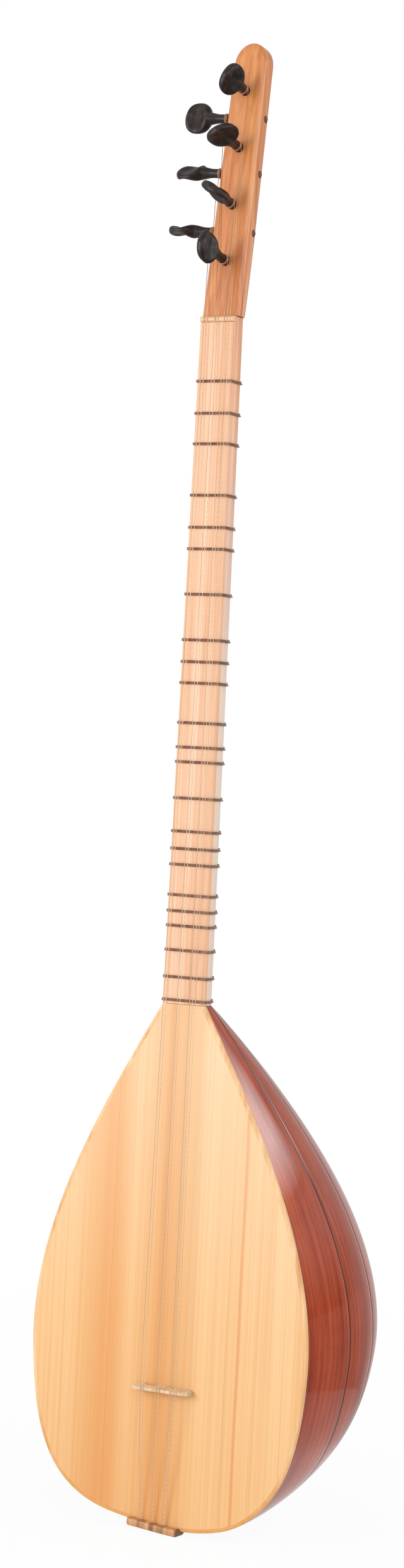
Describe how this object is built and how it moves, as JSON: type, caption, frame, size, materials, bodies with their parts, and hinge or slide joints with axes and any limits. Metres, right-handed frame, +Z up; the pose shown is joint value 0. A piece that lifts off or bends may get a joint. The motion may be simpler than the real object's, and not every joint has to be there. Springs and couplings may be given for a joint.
{
  "type": "long-necked lute",
  "caption": "Long-necked lute with a ribbed pear-shaped bowl, flat soundboard, tied movable frets, leaning peghead and courses of strings.",
  "frame": {"origin": "middle of the fingerboard face at the nut", "axes": "-Y out of the soundboard towards the strings, +Z up along the neck to the peghead, +X to the right seen from the front"},
  "size_m": [0.2564, 0.2761, 1.2149],
  "materials": {
    "spruce": "clear gloss varnish over straight pale grain",
    "binding_wood": "clear gloss varnish",
    "bowl_wood": "high gloss red-brown varnish",
    "block_wood": "bare wood inside the bowl",
    "neck_wood": "satin varnish",
    "fingerboard_wood": "satin oil",
    "bone": "polished bone",
    "nylon": "dark brown gut line",
    "peg_wood": "polished near-black wood",
    "bridge_wood": "pale hard wood",
    "tailpiece_wood": "varnished brown wood",
    "steel_wire": "plain and wound steel"
  },
  "bodies": {
    "neck_and_bowl": {"soundboard_centre": "spruce", "soundboard_wing_left": "spruce", "soundboard_wing_right": "spruce", "edge_binding": "binding_wood", "rib_1": "bowl_wood", "rib_2": "bowl_wood", "rib_3": "bowl_wood", "rib_4": "bowl_wood", "rib_5": "bowl_wood", "rib_6": "bowl_wood", "rib_7": "bowl_wood", "rib_8": "bowl_wood", "rib_9": "bowl_wood", "tail_block": "bowl_wood", "neck_block": "block_wood", "brace_upper": "block_wood", "brace_lower": "block_wood", "neck": "neck_wood", "fingerboard": "fingerboard_wood", "nut": "bone", "peghead": "neck_wood", "tailpiece": "tailpiece_wood", "string_1": "steel_wire", "string_2": "steel_wire", "string_3": "steel_wire", "string_4": "steel_wire", "string_5": "steel_wire", "string_6": "steel_wire", "string_7": "steel_wire"},
    "bridge": {"bridge": "bridge_wood"},
    "peg_front_1": {"peg_front_1": "peg_wood"},
    "peg_front_2": {"peg_front_2": "peg_wood"},
    "peg_front_3": {"peg_front_3": "peg_wood"},
    "peg_front_4": {"peg_front_4": "peg_wood"},
    "peg_side_1": {"peg_side_1": "peg_wood"},
    "peg_side_2": {"peg_side_2": "peg_wood"},
    "peg_side_3": {"peg_side_3": "peg_wood"},
    "fret_01": {"fret_01": "nylon"},
    "fret_02": {"fret_02": "nylon"},
    "fret_03": {"fret_03": "nylon"},
    "fret_04": {"fret_04": "nylon"},
    "fret_05": {"fret_05": "nylon"},
    "fret_06": {"fret_06": "nylon"},
    "fret_07": {"fret_07": "nylon"},
    "fret_08": {"fret_08": "nylon"},
    "fret_09": {"fret_09": "nylon"},
    "fret_10": {"fret_10": "nylon"},
    "fret_11": {"fret_11": "nylon"},
    "fret_12": {"fret_12": "nylon"},
    "fret_13": {"fret_13": "nylon"},
    "fret_14": {"fret_14": "nylon"},
    "fret_15": {"fret_15": "nylon"},
    "fret_16": {"fret_16": "nylon"},
    "fret_17": {"fret_17": "nylon"},
    "fret_18": {"fret_18": "nylon"},
    "fret_19": {"fret_19": "nylon"},
    "fret_20": {"fret_20": "nylon"},
    "fret_21": {"fret_21": "nylon"},
    "fret_22": {"fret_22": "nylon"},
    "fret_23": {"fret_23": "nylon"}
  },
  "joints": [
    {"name": "bridge_shift", "type": "slide", "parent": "neck_and_bowl", "child": "bridge", "axis": [0, 0, 1], "range_m": [-0.002, 0.002]},
    {"name": "peg_front_1_turn", "type": "hinge", "parent": "neck_and_bowl", "child": "peg_front_1", "pos_m": [0, 0.00904, 0.0504], "axis": [0, -0.9796, 0.2011], "continuous": true},
    {"name": "peg_front_2_turn", "type": "hinge", "parent": "neck_and_bowl", "child": "peg_front_2", "pos_m": [0, 0.0153, 0.09728], "axis": [0, -0.9796, 0.2011], "continuous": true},
    {"name": "peg_front_3_turn", "type": "hinge", "parent": "neck_and_bowl", "child": "peg_front_3", "pos_m": [0, 0.02165, 0.14486], "axis": [0, -0.9796, 0.2011], "continuous": true},
    {"name": "peg_front_4_turn", "type": "hinge", "parent": "neck_and_bowl", "child": "peg_front_4", "pos_m": [0, 0.02797, 0.19224], "axis": [0, -0.9796, 0.2011], "continuous": true},
    {"name": "peg_side_1_turn", "type": "hinge", "parent": "neck_and_bowl", "child": "peg_side_1", "pos_m": [-0.0167, 0.02347, 0.07682], "axis": [-0.9976, 0.0092, 0.0691], "continuous": true},
    {"name": "peg_side_2_turn", "type": "hinge", "parent": "neck_and_bowl", "child": "peg_side_2", "pos_m": [-0.01616, 0.03003, 0.12599], "axis": [-0.9976, 0.0092, 0.0691], "continuous": true},
    {"name": "peg_side_3_turn", "type": "hinge", "parent": "neck_and_bowl", "child": "peg_side_3", "pos_m": [-0.01566, 0.03616, 0.17198], "axis": [-0.9976, 0.0092, 0.0691], "continuous": true},
    {"name": "fret_01_shift", "type": "slide", "parent": "neck_and_bowl", "child": "fret_01", "axis": [0, 0, 1], "range_m": [-0.004, 0.004]},
    {"name": "fret_02_shift", "type": "slide", "parent": "neck_and_bowl", "child": "fret_02", "axis": [0, 0, 1], "range_m": [-0.004, 0.004]},
    {"name": "fret_03_shift", "type": "slide", "parent": "neck_and_bowl", "child": "fret_03", "axis": [0, 0, 1], "range_m": [-0.004, 0.004]},
    {"name": "fret_04_shift", "type": "slide", "parent": "neck_and_bowl", "child": "fret_04", "axis": [0, 0, 1], "range_m": [-0.004, 0.004]},
    {"name": "fret_05_shift", "type": "slide", "parent": "neck_and_bowl", "child": "fret_05", "axis": [0, 0, 1], "range_m": [-0.004, 0.004]},
    {"name": "fret_06_shift", "type": "slide", "parent": "neck_and_bowl", "child": "fret_06", "axis": [0, 0, 1], "range_m": [-0.004, 0.004]},
    {"name": "fret_07_shift", "type": "slide", "parent": "neck_and_bowl", "child": "fret_07", "axis": [0, 0, 1], "range_m": [-0.004, 0.004]},
    {"name": "fret_08_shift", "type": "slide", "parent": "neck_and_bowl", "child": "fret_08", "axis": [0, 0, 1], "range_m": [-0.004, 0.004]},
    {"name": "fret_09_shift", "type": "slide", "parent": "neck_and_bowl", "child": "fret_09", "axis": [0, 0, 1], "range_m": [-0.004, 0.004]},
    {"name": "fret_10_shift", "type": "slide", "parent": "neck_and_bowl", "child": "fret_10", "axis": [0, 0, 1], "range_m": [-0.004, 0.004]},
    {"name": "fret_11_shift", "type": "slide", "parent": "neck_and_bowl", "child": "fret_11", "axis": [0, 0, 1], "range_m": [-0.004, 0.004]},
    {"name": "fret_12_shift", "type": "slide", "parent": "neck_and_bowl", "child": "fret_12", "axis": [0, 0, 1], "range_m": [-0.004, 0.004]},
    {"name": "fret_13_shift", "type": "slide", "parent": "neck_and_bowl", "child": "fret_13", "axis": [0, 0, 1], "range_m": [-0.004, 0.004]},
    {"name": "fret_14_shift", "type": "slide", "parent": "neck_and_bowl", "child": "fret_14", "axis": [0, 0, 1], "range_m": [-0.004, 0.004]},
    {"name": "fret_15_shift", "type": "slide", "parent": "neck_and_bowl", "child": "fret_15", "axis": [0, 0, 1], "range_m": [-0.004, 0.004]},
    {"name": "fret_16_shift", "type": "slide", "parent": "neck_and_bowl", "child": "fret_16", "axis": [0, 0, 1], "range_m": [-0.004, 0.004]},
    {"name": "fret_17_shift", "type": "slide", "parent": "neck_and_bowl", "child": "fret_17", "axis": [0, 0, 1], "range_m": [-0.004, 0.004]},
    {"name": "fret_18_shift", "type": "slide", "parent": "neck_and_bowl", "child": "fret_18", "axis": [0, 0, 1], "range_m": [-0.004, 0.004]},
    {"name": "fret_19_shift", "type": "slide", "parent": "neck_and_bowl", "child": "fret_19", "axis": [0, 0, 1], "range_m": [-0.004, 0.004]},
    {"name": "fret_20_shift", "type": "slide", "parent": "neck_and_bowl", "child": "fret_20", "axis": [0, 0, 1], "range_m": [-0.004, 0.004]},
    {"name": "fret_21_shift", "type": "slide", "parent": "neck_and_bowl", "child": "fret_21", "axis": [0, 0, 1], "range_m": [-0.004, 0.004]},
    {"name": "fret_22_shift", "type": "slide", "parent": "neck_and_bowl", "child": "fret_22", "axis": [0, 0, 1], "range_m": [-0.004, 0.004]},
    {"name": "fret_23_shift", "type": "slide", "parent": "neck_and_bowl", "child": "fret_23", "axis": [0, 0, 1], "range_m": [-0.001, 0.004]}
  ]
}
